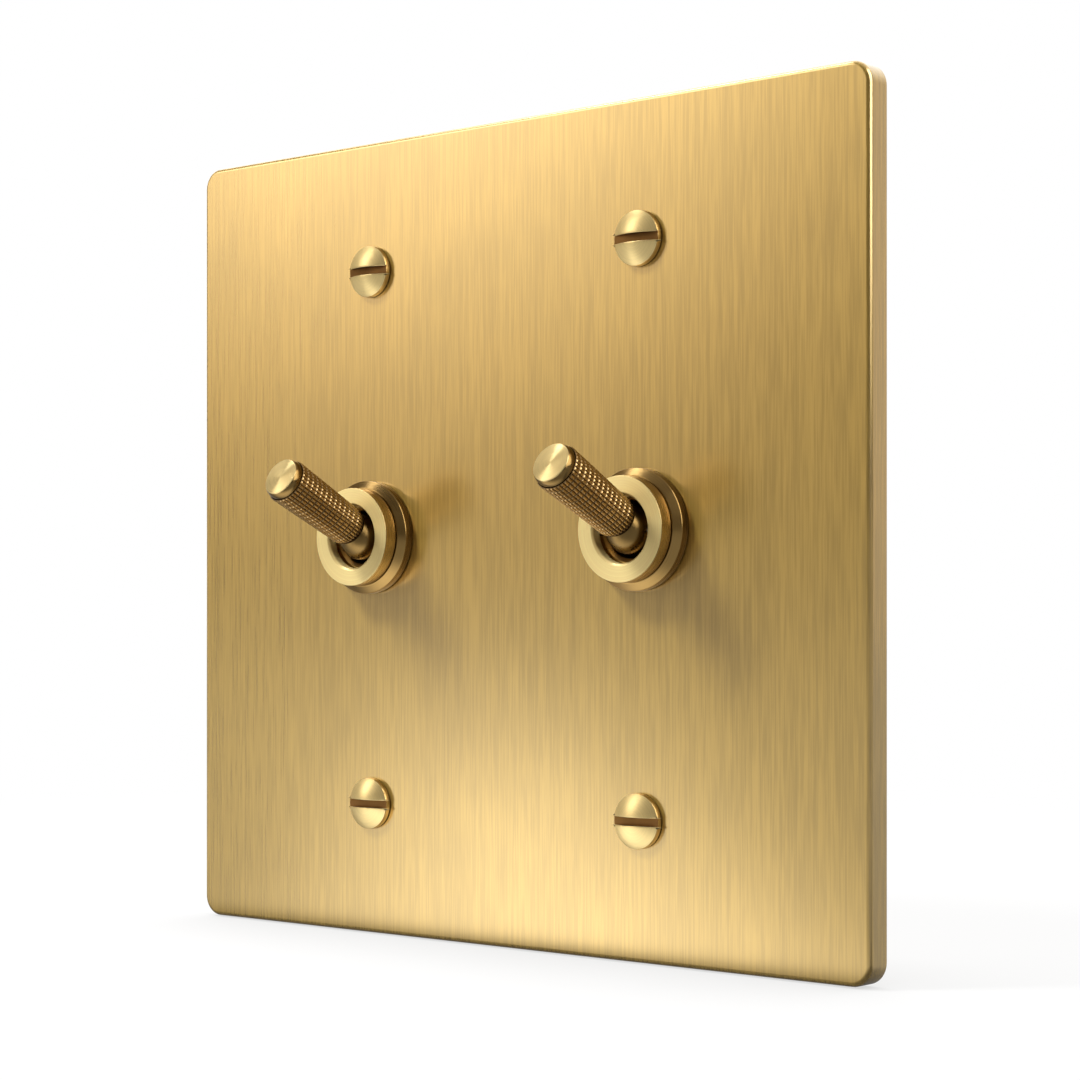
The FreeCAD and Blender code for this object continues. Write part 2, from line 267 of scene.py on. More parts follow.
def turn(name, outline, steps):
    """Spin (radius, y) points about the Y axis into a turned piece."""
    start_clean()
    bpy.ops.mesh.primitive_plane_add(size=0.001)
    piece = named(name)
    bpy.ops.object.mode_set(mode="EDIT")
    bpy.ops.mesh.select_mode(type="VERT")
    bpy.ops.mesh.merge(type="CENTER")
    bpy.ops.transform.translate(value=(outline[0][0], outline[0][1], 0))
    for (r_old, y_old), (r, y) in zip(outline, outline[1:]):
        bpy.ops.mesh.extrude_vertices_move(TRANSFORM_OT_translate={"value": (r - r_old, y - y_old, 0)})
    bpy.ops.mesh.select_all(action="SELECT")
    bpy.ops.mesh.spin(steps=steps, angle=2 * math.pi, center=(0, 0, 0), axis=(0, 1, 0))
    bpy.ops.mesh.select_all(action="SELECT")
    bpy.ops.mesh.remove_doubles(threshold=WELD)
    bpy.ops.mesh.normals_make_consistent(inside=False)
    bpy.ops.object.mode_set(mode="OBJECT")
    return piece


def smooth(piece, degrees):
    """Smooth shading that keeps corners sharp and flat faces flat."""
    take(piece)
    bpy.ops.object.shade_smooth_by_angle(angle=math.radians(degrees))
    apply_modifier(piece, "WEIGHTED_NORMAL", keep_sharp=True)


def round_edges(piece, width, segments, degrees):
    apply_modifier(piece, "BEVEL", width=width, segments=segments, limit_method="ANGLE",
                   angle_limit=math.radians(degrees))


def wrap_map(piece):
    """UV map of a turned piece: U runs around the Y axis, V outwards and along it."""
    mesh = piece.data
    layer = mesh.uv_layers.get("turning") or mesh.uv_layers.new(name="turning")
    for face in mesh.polygons:
        middle = math.atan2(face.center.z, face.center.x)
        for loop in face.loop_indices:
            point = mesh.vertices[mesh.loops[loop].vertex_index].co
            r = math.hypot(point.x, point.z)
            angle = math.atan2(point.z, point.x) if r > WELD else middle
            angle = middle + math.remainder(angle - middle, 2 * math.pi)
            layer.data[loop].uv = (angle / (2 * math.pi), 100 * (r + 0.37 * point.y))


def flat_map(piece):
    """UV map of the plate: U runs across the brushing and V along it."""
    mesh = piece.data
    layer = mesh.uv_layers.get("turning") or mesh.uv_layers.new(name="turning")
    for loop in mesh.loops:
        point = mesh.vertices[loop.vertex_index].co
        layer.data[loop.index].uv = (10 * (point.x + point.y), 10 * (point.z + 0.3 * point.y))


def copy_piece(piece, name):
    copy = piece.copy()
    copy.data = piece.data.copy()
    copy.name = name
    copy.data.name = name
    bpy.context.scene.collection.objects.link(copy)
    return copy


def paint(piece, finishes, *tests):
    """Give each face the finish numbered as the first test it passes, from 1, or else the first finish."""
    piece.data.materials.clear()
    for finish in finishes:
        piece.data.materials.append(finish)
    for face in piece.data.polygons:
        radius = math.hypot(face.center.x, face.center.z)
        passed = [place for place, test in enumerate(tests, 1) if test(face.center, radius, face.normal)]
        face.material_index = passed[0] if passed else 0


def fit(piece, body, slot, *nodes):
    """Give a finished piece its body and hide the CAD nodes that it stands for; the slot is not used."""
    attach(piece, body)
    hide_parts(*nodes)


def node_in(tree, kind, inputs=None, **settings):
    node = tree.nodes.new(kind)
    for name, value in settings.items():
        setattr(node, name, value)
    for name, value in (inputs or {}).items():
        if isinstance(value, bpy.types.NodeSocket):
            tree.links.new(value, node.inputs[name])
        else:
            node.inputs[name].default_value = value
    return node


def new_group(name, inputs, outputs):
    """Empty shader node group with its input and output nodes."""
    tree = bpy.data.node_groups.new(name, "ShaderNodeTree")
    for label, kind, default in inputs:
        socket = tree.interface.new_socket(label, in_out="INPUT", socket_type=kind)
        if default is not None:
            socket.default_value = default
    for label, kind in outputs:
        tree.interface.new_socket(label, in_out="OUTPUT", socket_type=kind)
    return tree, tree.nodes.new("NodeGroupInput"), tree.nodes.new("NodeGroupOutput")


def brush_group():
    """Long upright brush lines: fine ones for the height, fine and broad ones for the tone."""
    known = bpy.data.node_groups.get("brush_lines")
    if known:
        return known
    tree, into, out = new_group("brush_lines", [("Vector", "NodeSocketVector", None)],
                                [("Tone", "NodeSocketFloat"), ("Height", "NodeSocketFloat")])
    lines = []
    for across, along, share in ((4000.0, 110.0, 0.5), (2300.0, 45.0, 0.38), (600.0, 10.0, 0.12)):
        place = stretched(tree, into.outputs["Vector"], (across, across, along))
        lines.append(reckoned(tree, "MULTIPLY", noise_in(tree, place, 1.0, 2.0), share))
    fine = reckoned(tree, "ADD", lines[0], lines[1])
    tone = ranged(tree, reckoned(tree, "ADD", fine, lines[2]), start=0.39, end=0.61, ease="SMOOTHSTEP")
    tree.links.new(tone, out.inputs["Tone"])
    tree.links.new(fine, out.inputs["Height"])
    return tree


def lathe_group():
    """Fine rings left by turning, read from the map that runs around a turned piece."""
    known = bpy.data.node_groups.get("lathe_rings")
    if known:
        return known
    tree, into, out = new_group("lathe_rings", [("Vector", "NodeSocketVector", None)],
                                [("Tone", "NodeSocketFloat"), ("Height", "NodeSocketFloat")])
    lines = []
    for around, outward in ((3.0, 170.0), (1.0, 45.0)):
        place = stretched(tree, into.outputs["Vector"], (around, outward, 0.0))
        lines.append(noise_in(tree, place, 1.0, 3.0, 0.6))
    tone = ranged(tree, reckoned(tree, "ADD", lines[0], lines[1]), start=0.7, end=1.3)
    tree.links.new(tone, out.inputs["Tone"])
    tree.links.new(lines[0], out.inputs["Height"])
    return tree


def handled_group():
    """Soft uneven patches where a surface has dulled with handling and age."""
    known = bpy.data.node_groups.get("handled_patches")
    if known:
        return known
    tree, into, out = new_group("handled_patches",
                                [("Vector", "NodeSocketVector", None), ("Scale", "NodeSocketFloat", 60.0)],
                                [("Mask", "NodeSocketFloat")])
    cloud = noise_in(tree, into.outputs["Vector"], into.outputs["Scale"], 5.0, 0.55)
    tree.links.new(ranged(tree, cloud, start=0.35, end=0.68), out.inputs["Mask"])
    return tree


def new_finish(name):
    finish = bpy.data.materials.new(name)
    finish.use_nodes = True
    tree = finish.node_tree
    return finish, tree, tree.nodes["Principled BSDF"]


def use_group(tree, group, **inputs):
    return node_in(tree, "ShaderNodeGroup", inputs, node_tree=group)


def mixed(tree, factor, first, second):
    """Colour between two colours by a factor socket."""
    mix = tree.nodes.new("ShaderNodeMix")
    mix.data_type = "RGBA"
    tree.links.new(factor, mix.inputs[0])
    for value, socket in ((first, mix.inputs[6]), (second, mix.inputs[7])):
        if isinstance(value, bpy.types.NodeSocket):
            tree.links.new(value, socket)
        else:
            socket.default_value = (*value, 1.0)
    return mix.outputs[2]


def scaled(tone, factor):
    return tuple(min(1.0, part * factor) for part in tone)


def ranged(tree, value, low=0.0, high=1.0, start=0.0, end=1.0, ease="LINEAR"):
    """Value between two levels, as the one read goes from start to end."""
    inputs = {"Value": value, "From Min": start, "From Max": end, "To Min": low, "To Max": high}
    return node_in(tree, "ShaderNodeMapRange", inputs, interpolation_type=ease).outputs[0]


def reckoned(tree, operation, first, second=0.0):
    return node_in(tree, "ShaderNodeMath", {0: first, 1: second}, operation=operation).outputs[0]


def noise_in(tree, vector, scale, detail, roughness=0.5):
    inputs = {"Vector": vector, "Scale": scale, "Detail": detail, "Roughness": roughness}
    return node_in(tree, "ShaderNodeTexNoise", inputs).outputs["Fac"]


def stretched(tree, vector, factors):
    return node_in(tree, "ShaderNodeVectorMath", {0: vector, 1: factors}, operation="MULTIPLY").outputs[0]


def add_relief(tree, shader, height, strength, distance):
    relief = node_in(tree, "ShaderNodeBump", {"Height": height, "Strength": strength, "Distance": distance})
    tree.links.new(relief.outputs["Normal"], shader.inputs["Normal"])


def brass(name, tone, lines, rough, stretch, bump, wear=0.9, turn_by=0.0, metal=1.0, lacquer=0.0):
    """Brass with tool lines in its tone, gloss and relief, dulled in soft patches."""
    finish, tree, shader = new_finish(name)
    coords = node_in(tree, "ShaderNodeTexCoord")
    if lines == "brush":
        marks = use_group(tree, brush_group(), Vector=coords.outputs["Object"])
    else:
        uv = node_in(tree, "ShaderNodeUVMap", uv_map="turning")
        marks = use_group(tree, lathe_group(), Vector=uv.outputs["UV"])
    patches = use_group(tree, handled_group(), Vector=coords.outputs["Object"], Scale=55.0)
    lined = mixed(tree, marks.outputs["Tone"], scaled(tone, wear), scaled(tone, 2 - wear))
    aged = mixed(tree, ranged(tree, patches.outputs["Mask"], 0.0, 0.18), lined, scaled(tone, wear * 0.92))
    tree.links.new(aged, shader.inputs["Base Color"])
    gloss = ranged(tree, marks.outputs["Tone"], rough * 0.92, rough * 1.08)
    dulled = reckoned(tree, "ADD", gloss, ranged(tree, patches.outputs["Mask"], 0.0, 0.04))
    tree.links.new(dulled, shader.inputs["Roughness"])
    add_relief(tree, shader, marks.outputs["Height"], bump, 0.00002)
    tangent = node_in(tree, "ShaderNodeTangent", direction_type="UV_MAP", uv_map="turning")
    tree.links.new(tangent.outputs["Tangent"], shader.inputs["Tangent"])
    shader.inputs["Metallic"].default_value = metal
    shader.inputs["Anisotropic"].default_value = stretch
    shader.inputs["Anisotropic Rotation"].default_value = turn_by
    shader.inputs["Coat Weight"].default_value = lacquer
    shader.inputs["Coat Roughness"].default_value = rough
    shader.inputs["Coat IOR"].default_value = LACQUER_IOR
    return finish


def knurled_brass(name, tone, recess_shade, rough):
    """Rolled knurl: painted shade deepening into the grooves by the depth kept on the mesh, lacquer only on the
    glossier tops, and soft dulled patches.
    """
    finish, tree, shader = new_finish(name)
    coords = node_in(tree, "ShaderNodeTexCoord")
    depth = node_in(tree, "ShaderNodeAttribute", attribute_name="groove")
    patches = use_group(tree, handled_group(), Vector=coords.outputs["Object"], Scale=900.0)
    groove = ranged(tree, depth.outputs["Fac"], start=0.2, end=0.95)
    worn = mixed(tree, ranged(tree, patches.outputs["Mask"], 0.0, 0.5), tone, scaled(tone, 0.86))
    tree.links.new(mixed(tree, groove, worn, recess_shade), shader.inputs["Base Color"])
    dulled = reckoned(tree, "ADD", ranged(tree, groove, rough, rough + 0.22),
                      ranged(tree, patches.outputs["Mask"], 0.0, 0.06))
    tree.links.new(dulled, shader.inputs["Roughness"])
    add_relief(tree, shader, noise_in(tree, coords.outputs["Object"], 9000.0, 2.0), 0.15, 0.00001)
    shader.inputs["Metallic"].default_value = 1.0
    tree.links.new(ranged(tree, groove, 0.45, 0.0), shader.inputs["Coat Weight"])
    shader.inputs["Coat Roughness"].default_value = rough
    shader.inputs["Coat IOR"].default_value = LACQUER_IOR
    return finish


def plated(name, tone, rough, scale, spread, metallic=1.0, bump=0.1):
    """Even metal or moulding with a fine grain and soft patches."""
    finish, tree, shader = new_finish(name)
    coords = node_in(tree, "ShaderNodeTexCoord")
    patches = use_group(tree, handled_group(), Vector=coords.outputs["Object"], Scale=scale)
    tree.links.new(mixed(tree, patches.outputs["Mask"], scaled(tone, 1 + spread), scaled(tone, 1 - spread)),
                   shader.inputs["Base Color"])
    tree.links.new(ranged(tree, patches.outputs["Mask"], rough * 0.85, rough * 1.2), shader.inputs["Roughness"])
    add_relief(tree, shader, noise_in(tree, coords.outputs["Object"], scale * 40, 3.0), bump, 0.00004)
    shader.inputs["Metallic"].default_value = metallic
    return finish


class SWITCH_OT_stage(bpy.types.Operator):
    """Floor, room light, lamps and camera"""
    bl_idname = "dolly_switch.stage"
    bl_label = "Studio stage"

    def execute(self, context):
        stage = context.scene.dolly_switch.stage
        self.make_floor(stage)
        self.make_room(context.scene, stage)
        key = self.add_lamp("key_lamp", stage.key, turn_deg=-38, rise_deg=46, away=0.8, wide=0.16, high=0.16)
        key.visible_glossy = False
        side = self.add_lamp("side_lamp", stage.kicker, turn_deg=87, rise_deg=35, away=0.8, wide=0.75, high=0.75)
        side.visible_diffuse = False
        self.add_lamp("fill_lamp", stage.fill, turn_deg=-76, rise_deg=58, away=0.8, wide=0.2, high=0.2)
        self.add_lamp("top_lamp", stage.top, turn_deg=-20, rise_deg=80, away=0.9, wide=0.9, high=0.6)
        self.make_camera(context.scene, stage)
        context.scene.view_settings.view_transform = "Standard"
        return {"FINISHED"}

    def make_floor(self, stage):
        """Paper that is white to the camera with a painted contact shadow near the plate, and a painted glowing
        strip that only the metal's reflections see.
        """
        start_clean()
        bpy.ops.mesh.primitive_plane_add(size=12, location=(0, 0, PLATE_LOW[2] - 0.0002))
        floor = named("floor")
        settle(floor)
        finish, tree, shader = new_finish("floor_paper")
        shader.inputs["Roughness"].default_value = 0.9
        path = node_in(tree, "ShaderNodeLightPath").outputs
        place = node_in(tree, "ShaderNodeTexCoord").outputs["Object"]
        tree.links.new(mixed(tree, path["Is Camera Ray"], (0.2, 0.2, 0.2), (0.9, 0.9, 0.9)),
                       shader.inputs["Base Color"])
        seen = reckoned(tree, "MAXIMUM", path["Is Camera Ray"], path["Is Transmission Ray"])
        away = node_in(tree, "ShaderNodeVectorMath", {0: place}, operation="LENGTH").outputs["Value"]
        share = reckoned(tree, "MULTIPLY", seen, ranged(tree, away, 0.9, 1.0, start=0.1, end=0.35))
        # Painted contact shadow: the white that the camera sees dims by ambient occlusion near the plate.
        open_sky = node_in(tree, "ShaderNodeAmbientOcclusion", {"Distance": 0.03}, samples=8).outputs["AO"]
        white = self.glowing(tree, ranged(tree, open_sky, 0.72, 1.0))
        plain = node_in(tree, "ShaderNodeMixShader", {0: share, 1: shader.outputs[0], 2: white}).outputs[0]
        # Painted reflection: glossy rays see a glowing strip in place of the lit floor.
        painted_reflection = self.glowing(tree, self.painted_reflection_level(tree, stage, place))
        mix = node_in(tree, "ShaderNodeMixShader", {0: path["Is Glossy Ray"], 1: plain, 2: painted_reflection})
        tree.links.new(mix.outputs[0], tree.nodes["Material Output"].inputs["Surface"])
        floor.data.materials.append(finish)

    def glowing(self, tree, level):
        return node_in(tree, "ShaderNodeEmission", {"Color": (*WHITE, 1), "Strength": level}).outputs[0]

    def painted_reflection_level(self, tree, stage, place):
        """Painted level of the floor in reflections: a glowing strip to the front left, dropping to painted shade at
        the plate's foot.
        """
        ahead = self.towards(-43, 0)
        measured = [node_in(tree, "ShaderNodeVectorMath", {0: place, 1: axis}, operation="DOT_PRODUCT")
                    for axis in (ahead, (-ahead[1], ahead[0], 0))]
        along, across = (node.outputs["Value"] for node in measured)
        depth = node_in(tree, "ShaderNodeSeparateXYZ", {0: place}).outputs["Y"]
        aside = reckoned(tree, "ABSOLUTE", reckoned(tree, "SUBTRACT", across, 0.013))
        narrow = ranged(tree, aside, 1.0, 0.0, start=0.0, end=0.072, ease="SMOOTHSTEP")
        near = ranged(tree, along, 1.0, 0.0, start=0.15, end=4.0, ease="SMOOTHSTEP")
        # Painted shade: the reflected floor drops to a low level at the plate's foot.
        off_foot = ranged(tree, depth, start=-0.006, end=-0.022, ease="SMOOTHSTEP")
        behind = ranged(tree, depth, start=-0.002, end=0.01, ease="SMOOTHSTEP")
        strip = ranged(tree, reckoned(tree, "MULTIPLY", narrow, near), stage.floor, stage.strip)
        return ranged(tree, behind, ranged(tree, off_foot, 0.12, strip), stage.floor)

    def make_room(self, scene, stage):
        """White behind the switch, dim in front of it, with a soft box on the left."""
        world = bpy.data.worlds.new("room")
        world.use_nodes = True
        tree = world.node_tree
        coords = node_in(tree, "ShaderNodeTexCoord")
        split = node_in(tree, "ShaderNodeSeparateXYZ", {0: coords.outputs["Generated"]}).outputs
        bearing = reckoned(tree, "ARCTAN2", split["X"], reckoned(tree, "MULTIPLY", split["Y"], -1.0))
        sideways = reckoned(tree, "MULTIPLY", reckoned(tree, "ADD", bearing, math.radians(44.8)), 1.66)
        upwards = reckoned(tree, "SUBTRACT", reckoned(tree, "ARCSINE", split["Z"]), math.radians(26.6))
        off = node_in(tree, "ShaderNodeCombineXYZ", {0: sideways, 1: upwards}).outputs[0]
        off = node_in(tree, "ShaderNodeVectorMath", {0: off}, operation="LENGTH").outputs["Value"]
        boxed = ranged(tree, off, 1.0, 0.0, start=math.radians(8), end=math.radians(28), ease="SMOOTHSTEP")
        behind = reckoned(tree, "MULTIPLY", ranged(tree, split["Y"], start=-0.1, end=0.3, ease="SMOOTHSTEP"),
                          ranged(tree, split["X"], start=1.0, end=0.1, ease="SMOOTHSTEP"))
        path = node_in(tree, "ShaderNodeLightPath").outputs
        seen = reckoned(tree, "MAXIMUM", path["Is Camera Ray"], path["Is Transmission Ray"])
        level = stage.room
        for share, bright in ((boxed, stage.glow), (behind, stage.back), (seen, 1.0)):
            level = node_in(tree, "ShaderNodeMix", {"Factor": share, "A": level, "B": bright}).outputs[0]
        tree.links.new(level, tree.nodes["Background"].inputs["Strength"])
        lit = reckoned(tree, "MAXIMUM", reckoned(tree, "MAXIMUM", boxed, behind), seen)
        tree.links.new(mixed(tree, lit, stage.walls, WHITE), tree.nodes["Background"].inputs["Color"])
        scene.world = world

    def towards(self, turn_deg, rise_deg):
        """Direction at a turn to the right of -Y and a rise."""
        a, e = math.radians(turn_deg), math.radians(rise_deg)
        return (math.sin(a) * math.cos(e), -math.cos(a) * math.cos(e), math.sin(e))

    def add_lamp(self, name, power, turn_deg, rise_deg, away, wide, high):
        """Area lamp that faces the plate's middle from a turn to the right of -Y and a rise."""
        place = [away * part for part in self.towards(turn_deg, rise_deg)]
        start_clean()
        bpy.ops.object.light_add(type="AREA", location=place,
                                 rotation=(math.radians(90 - rise_deg), 0, math.radians(turn_deg)))
        lamp = bpy.context.active_object
        lamp.name = name
        lamp.data.shape = "RECTANGLE"
        lamp.data.size = wide
        lamp.data.size_y = high
        lamp.data.energy = power
        return lamp

    def make_camera(self, scene, stage):
        start_clean()
        bpy.ops.object.camera_add(location=stage.place, rotation=(math.pi / 2, 0, stage.turn))
        camera = bpy.context.active_object
        camera.name = "camera"
        camera.data.lens = stage.lens
        camera.data.sensor_width = 36
        camera.data.shift_y = stage.rise
        camera.data.clip_start = 0.01
        scene.camera = camera


class SWITCH_OT_plate(bpy.types.Operator):
    """Brushed face plate with its hollow back, bosses and holes"""
    bl_idname = "dolly_switch.plate"
    bl_label = "Face plate"

    def execute(self, context):
        sizes = context.scene.dolly_switch.plate
        tone = context.scene.dolly_switch.finish.plate
        half_w, half_h, front = sizes.width / 2, sizes.height / 2, -sizes.depth
        plate = add_block(-half_w, half_w, front, 0, -half_h, half_h)
        plate.name = plate.data.name = "brushed_plate"
        take(plate)
        bpy.ops.object.mode_set(mode="EDIT")
        pick_edges(plate, lambda a, b: abs(a.y - b.y) > sizes.depth / 2)
        bpy.ops.mesh.bevel(offset=sizes.corner, segments=12)
        pick_edges(plate, lambda a, b: max(a.y, b.y) < front + WELD)
        bpy.ops.mesh.bevel(offset=sizes.edge, segments=6)
        bpy.ops.object.mode_set(mode="OBJECT")
        combine(plate, self.hollow(sizes, half_w, half_h, front), "DIFFERENCE")
        for x in pair(sizes.gang_pitch):
            combine(plate, add_rod(sizes.bushing_hole, x, 0, front - OVERSHOOT, OVERSHOOT), "DIFFERENCE")
            for z in pair(sizes.screw_pitch):
                combine(plate, add_rod(sizes.screw_hole, x, z, front - OVERSHOOT, OVERSHOOT), "DIFFERENCE")
        smooth(plate, 25)
        flat_map(plate)
        finish = brass("plate_brass", tone, "brush", rough=0.21, stretch=0.3, bump=0.02, wear=0.87, metal=0.63,
                       lacquer=1.0)
        paint(plate, [finish])
        fit(plate, "base", "plate_brass", "face_plate")
        return {"FINISHED"}

    def hollow(self, sizes, half_w, half_h, front):
        """Tool for the space behind the front sheet, with the screw bosses left standing."""
        x, z = half_w - sizes.rim, half_h - sizes.rim
        tool = add_block(-x, x, front + sizes.wall, OVERSHOOT, -z, z)
        for x in pair(sizes.gang_pitch):
            for z in pair(sizes.screw_pitch):
                combine(tool, add_rod(sizes.boss, x, z, front, 2 * OVERSHOOT), "DIFFERENCE")
        return tool


class SWITCH_OT_screws(bpy.types.Operator):
    """Domed, slotted fixing screws with threaded shanks"""
    bl_idname = "dolly_switch.screws"
    bl_label = "Fixing screws"

    def execute(self, context):
        settings = context.scene.dolly_switch
        sizes, plate = settings.screw, settings.plate
        front = -plate.depth
        top = front - sizes.wall - sizes.dome
        screw = turn("fixing_screw", self.outline(sizes, front, top), 80)
        half_slot = sizes.slot_width / 2
        slot = add_block(-0.01, 0.01, top - OVERSHOOT, top + sizes.slot_depth, -half_slot, half_slot)
        combine(screw, slot, "DIFFERENCE")
        take(screw)
        bpy.ops.object.mode_set(mode="EDIT")
        pick_edges(screw, lambda a, b: all(abs(abs(p.z) - half_slot) < WELD
                                           and p.y < top + sizes.slot_depth - 1e-5 for p in (a, b)))
        bpy.ops.mesh.bevel(offset=0.00011, segments=3)
        bpy.ops.object.mode_set(mode="OBJECT")
        smooth(screw, 35)
        wrap_map(screw)
        tones = settings.finish
        # Painted light: the dome is lightened brass as a painted highlight; the slot, the seam under the head and
        # the head's side are painted shade.
        finishes = [brass("screw_brass", scaled(tones.pale_highlight, 0.95), "turn", rough=0.34, stretch=0.0, bump=0.05,
                          metal=0.7),
                    plated("slot_shade", scaled(tones.recess_shade, 2.2), rough=0.5, scale=200.0, spread=0.1),
                    plated("screw_seam_shade", tones.recess_shade, rough=0.6, scale=200.0, spread=0.1),
                    brass("screw_side_shade", scaled(tones.polished, 0.7), "turn", rough=0.28, stretch=0.0, bump=0.05)]

        def in_slot(place, r, normal):
            return abs(place.z) < half_slot + WELD and place.y < top + 1.01 * sizes.slot_depth

        def in_seam(place, r, normal):
            return front - 1.1 * sizes.seam < place.y < front and r < sizes.head - 0.2 * sizes.seam

        def on_side(place, r, normal):
            return place.y > front or abs(normal.y) < 0.5 and r > 0.97 * sizes.head

        paint(screw, finishes, in_slot, in_seam, on_side)
        places = [(x, z) for x in pair(plate.gang_pitch) for z in pair(plate.screw_pitch)]
        for number_on, (x, z) in enumerate(places, 1):
            copy = copy_piece(screw, f"fixing_screw_{number_on}")
            copy.location = (x, 0, z)
            settle(copy)
            fit(copy, "base", "screw_brass", "plate_screws")
        bpy.data.objects.remove(screw, do_unlink=True)
        return {"FINISHED"}

    def outline(self, sizes, front, top):
        """Half section from the top of the dome down the thread to its end."""
        ball = (sizes.head ** 2 + sizes.dome ** 2) / (2 * sizes.dome)
        points = []
        for step in range(13):
            r = sizes.head * 0.985 * math.sin(math.pi / 2 * step / 12)
            points.append((r, top + ball - math.sqrt(ball ** 2 - r ** 2)))
        points += [(sizes.head, front - sizes.wall + 0.0001), (sizes.head, front - sizes.seam)]
        points += [(sizes.head - sizes.seam, front - sizes.seam), (sizes.head - sizes.seam, front)]
        points += [(sizes.neck, front), (sizes.neck, 0)]
        turns = int(sizes.reach / sizes.pitch)
        for turn_on in range(turns - 1):
            y = turn_on * sizes.pitch
            points += [(sizes.neck, y + 0.15 * sizes.pitch), (sizes.shank, y + 0.45 * sizes.pitch),
                       (sizes.shank, y + 0.6 * sizes.pitch), (sizes.neck, y + 0.9 * sizes.pitch)]
        points += [(sizes.neck, sizes.reach - 0.0004), (sizes.neck - 0.0004, sizes.reach), (0, sizes.reach)]
        return points


class SWITCH_OT_collars(bpy.types.Operator):
    """Turned ring nuts and the base flanges under them"""
    bl_idname = "dolly_switch.collars"
    bl_label = "Ring nuts and flanges"

    def execute(self, context):
        settings = context.scene.dolly_switch
        sizes = settings.collar
        front = -settings.plate.depth
        seat = front - sizes.flange_height
        face = seat - sizes.ring_height
        lip = face + sizes.ring_lip
        skirt = front - sizes.skirt_gap
        ring = turn("ring", [
            (sizes.ring_bore, lip), (sizes.ring_bore, face + sizes.chamfer), (sizes.ring_bore + sizes.chamfer, face),
            (sizes.ring, face), (sizes.ring, seat - sizes.seam), (sizes.ring - 2 * sizes.seam, seat - sizes.seam),
            (sizes.ring - 2 * sizes.seam, seat), (sizes.skirt, seat), (sizes.skirt, skirt),
            (sizes.thread, skirt), (sizes.thread, lip), (sizes.ring_bore, lip)], TURN_STEPS)
        flange = turn("flange", [
            (sizes.flange_bore, front), (sizes.flange - 1.5 * sizes.seam, front),
            (sizes.flange - 1.5 * sizes.seam, front - sizes.seam), (sizes.flange, front - sizes.seam),
            (sizes.flange, front - sizes.flange_rim),
            (sizes.ring + sizes.edge, seat), (sizes.flange_bore, seat), (sizes.flange_bore, front)], TURN_STEPS)
        for piece in (ring, flange):
            round_edges(piece, sizes.edge, 3, 30)
            smooth(piece, 40)
            wrap_map(piece)
        tones = settings.finish
        # Painted shade: the seams under the ring and the flange get the darkest brass.
        seam_shade = plated("collar_seam_shade", tones.recess_shade, rough=0.6, scale=200.0, spread=0.1)
        # Painted shade: the outer sides are darkened brass.
        side_shade = brass("collar_side_shade", scaled(tones.polished, 0.58), "turn", rough=0.26, stretch=0.3, bump=0.1,
                            turn_by=RADIAL)
        # Painted highlight: the ring is lightened, mostly non-metal brass.
        ring_highlight = brass("ring_brass", scaled(tones.pale_highlight, 1.03), "turn", rough=0.34, stretch=0.45, bump=0.1,
                            turn_by=RADIAL, metal=0.4)
        # Painted shade: the flange and its side are darkened brass.
        flange_shade = brass("flange_brass", scaled(tones.shade, 0.48), "turn", rough=0.28, stretch=0.4, bump=0.1,
                              turn_by=RADIAL)
        rim_shade = brass("flange_side_shade", scaled(tones.shade, 0.32), "turn", rough=0.26, stretch=0.3, bump=0.1,
                           turn_by=RADIAL)
        for piece, foot, outside, finish, side in ((ring, seat, sizes.ring, ring_highlight, side_shade),
                                                   (flange, front, sizes.flange, flange_shade, rim_shade)):
            inset = outside - 0.3 * sizes.seam
            paint(piece, [finish, seam_shade, side],
                  lambda place, r, normal: foot - 1.1 * sizes.seam < place.y < foot and r < inset,
                  lambda place, r, normal: abs(normal.y) < 0.3 and r > inset)
        for side, x in zip(SIDES, pair(settings.plate.gang_pitch)):
            for piece, name, slot in ((ring, "ring_nut", "ring_brass"), (flange, "flange", "flange_brass")):
                copy = copy_piece(piece, f"{side}_turned_{name}")
                copy.location = (x, 0, 0)
                settle(copy)
                fit(copy, "base", slot, f"{side}_{name}")
        bpy.data.objects.remove(ring, do_unlink=True)
        bpy.data.objects.remove(flange, do_unlink=True)
        return {"FINISHED"}


